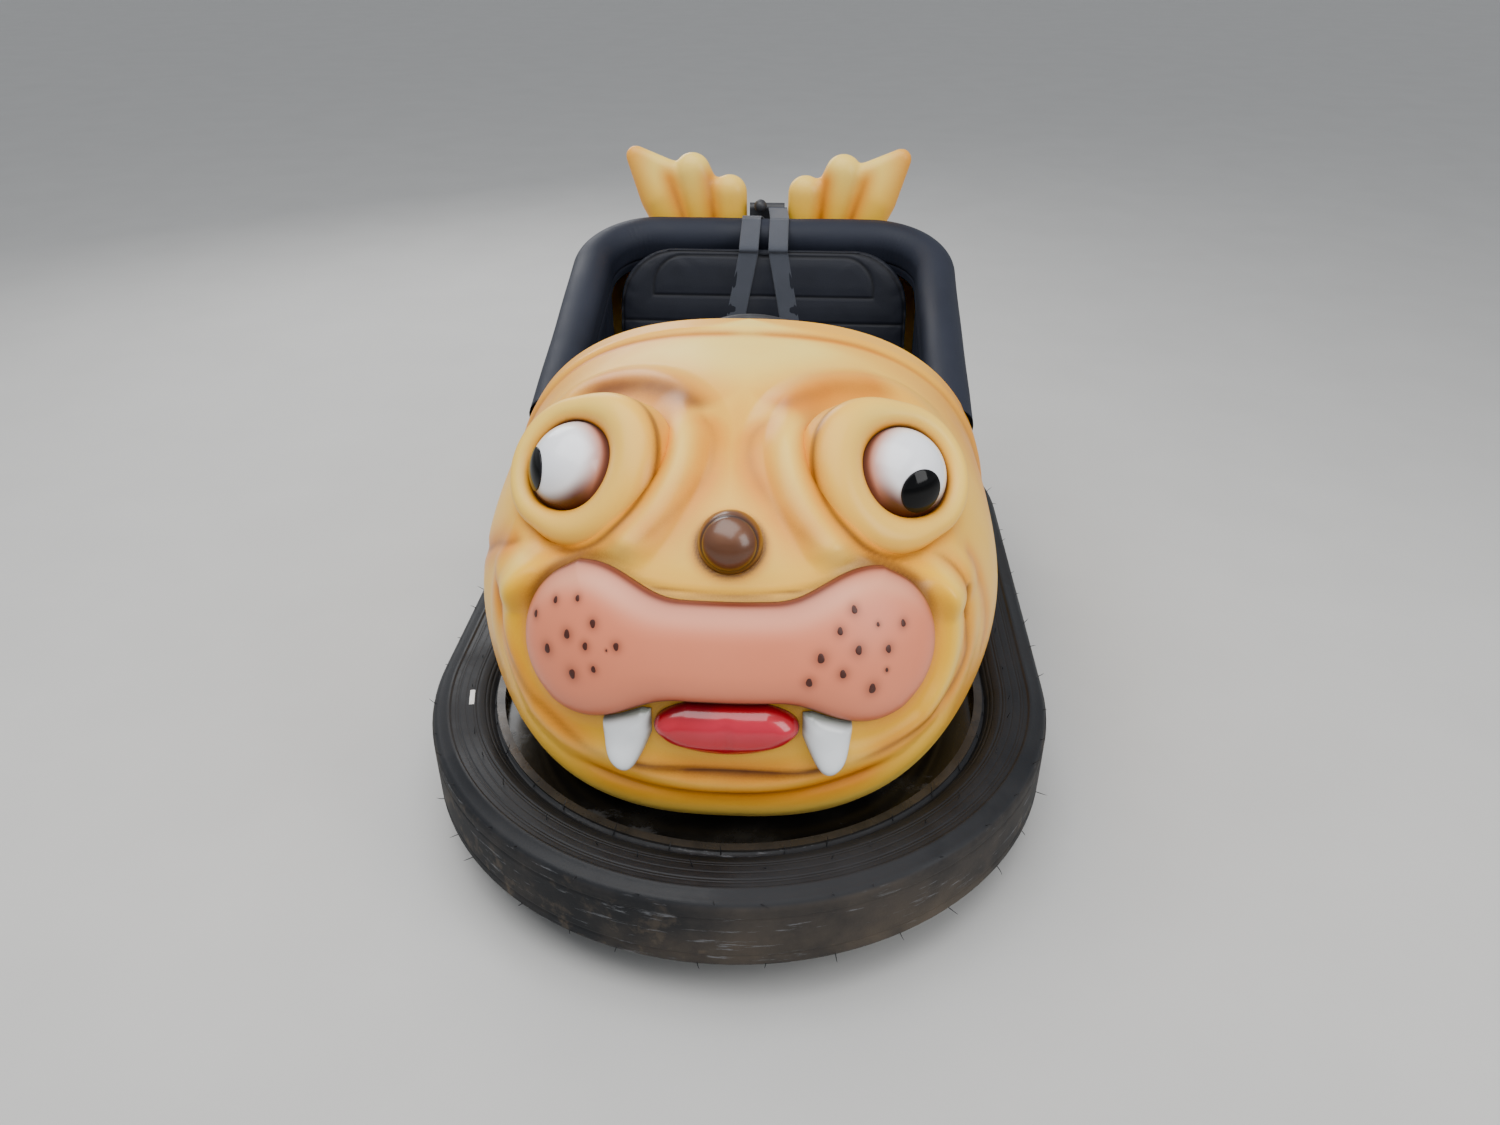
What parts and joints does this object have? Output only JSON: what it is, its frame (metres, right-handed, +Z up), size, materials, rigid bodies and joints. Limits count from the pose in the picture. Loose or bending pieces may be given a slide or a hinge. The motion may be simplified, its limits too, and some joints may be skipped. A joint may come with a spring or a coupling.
{
  "type": "bumper car",
  "caption": "Two-seat fairground bumper car with an oval air-filled bumper tyre, a moulded animal head over the nose and a padded open cockpit.",
  "frame": {"origin": "on the floor, under the middle of the bounding box", "axes": "-Y is forward, the way the animal head looks; +X is to the right of a viewer who faces the head, the driver's left; +Z is up"},
  "size_m": [1.164, 1.8996, 0.9963],
  "materials": {
    "bumper_rubber": "worn matt, scuffed",
    "black_steel": "gloss black, scratched",
    "frame_steel": "satin black",
    "bare_metal": "machined",
    "motor_casing": "painted grey",
    "wheel_rim": "cast",
    "wheel_tyre": "solid rubber",
    "head_paint": "airbrushed gloss on glass fibre",
    "body_paint": "gloss on glass fibre",
    "muzzle_paint": "matt, speckled",
    "tongue_paint": "high gloss",
    "tooth_paint": "gloss",
    "nose_paint": "gloss",
    "eye_white": "gloss",
    "pupil_black": "high gloss",
    "vinyl": "satin vinyl, sewn",
    "trim_black": "fine grained",
    "grip": "satin",
    "webbing": "woven",
    "battery_case": "ribbed"
  },
  "bodies": {
    "car": {"bumper_tyre": "bumper_rubber", "bumper_band": "black_steel", "deck_plate": "black_steel", "frame_rails": "frame_steel", "frame_crossmembers": "frame_steel", "frame_outriggers": "frame_steel", "drive_well": "frame_steel", "steering_bearing": "bare_metal", "steering_gearbox": "motor_casing", "rear_hangers": "frame_steel", "rear_axle": "bare_metal", "head_shell": "head_paint", "muzzle_pad": "muzzle_paint", "tongue": "tongue_paint", "fang_left": "tooth_paint", "fang_right": "tooth_paint", "nose": "nose_paint", "eyeball_left": "eye_white", "eyeball_right": "eye_white", "pupil_left": "pupil_black", "pupil_right": "pupil_black", "dashboard": "trim_black", "steering_column": "trim_black", "toe_board": "trim_black", "pedal": "bare_metal", "rear_shell": "body_paint", "rim_roll": "vinyl", "side_pads": "vinyl", "seat_box": "trim_black", "battery": "battery_case", "seat_cushion": "vinyl", "seat_back": "vinyl", "rear_fin_left": "body_paint", "rear_fin_right": "body_paint", "belt_guide": "trim_black", "belt_left": "webbing", "belt_right": "webbing"},
    "drive_unit": {"drive_yoke": "frame_steel", "drive_motor": "motor_casing"},
    "drive_wheel": {"drive_wheel_rim": "wheel_rim", "drive_wheel_tyre": "wheel_tyre"},
    "rear_wheel_left": {"rear_wheel_rim_left": "wheel_rim", "rear_wheel_tyre_left": "wheel_tyre"},
    "rear_wheel_right": {"rear_wheel_rim_right": "wheel_rim", "rear_wheel_tyre_right": "wheel_tyre"},
    "steering": {"steering_wheel": "grip"}
  },
  "joints": [
    {"name": "drive_steer", "type": "hinge", "parent": "car", "child": "drive_unit", "pos_m": [0, -0.5, 0.2], "axis": [0, 0, 1], "continuous": true},
    {"name": "drive_spin", "type": "hinge", "parent": "drive_unit", "child": "drive_wheel", "pos_m": [0, -0.5, 0.11], "axis": [1, 0, 0], "continuous": true},
    {"name": "rear_left_spin", "type": "hinge", "parent": "car", "child": "rear_wheel_left", "pos_m": [-0.31, 0.43, 0.08], "axis": [1, 0, 0], "continuous": true},
    {"name": "rear_right_spin", "type": "hinge", "parent": "car", "child": "rear_wheel_right", "pos_m": [0.31, 0.43, 0.08], "axis": [1, 0, 0], "continuous": true},
    {"name": "steering_wheel_turn", "type": "hinge", "parent": "car", "child": "steering", "pos_m": [0, 0.115, 0.65], "axis": [0, 0.891, 0.454], "continuous": true}
  ],
  "couplings": [
    {"joint": "steering_wheel_turn", "follows": "drive_steer", "ratio": 1}
  ]
}
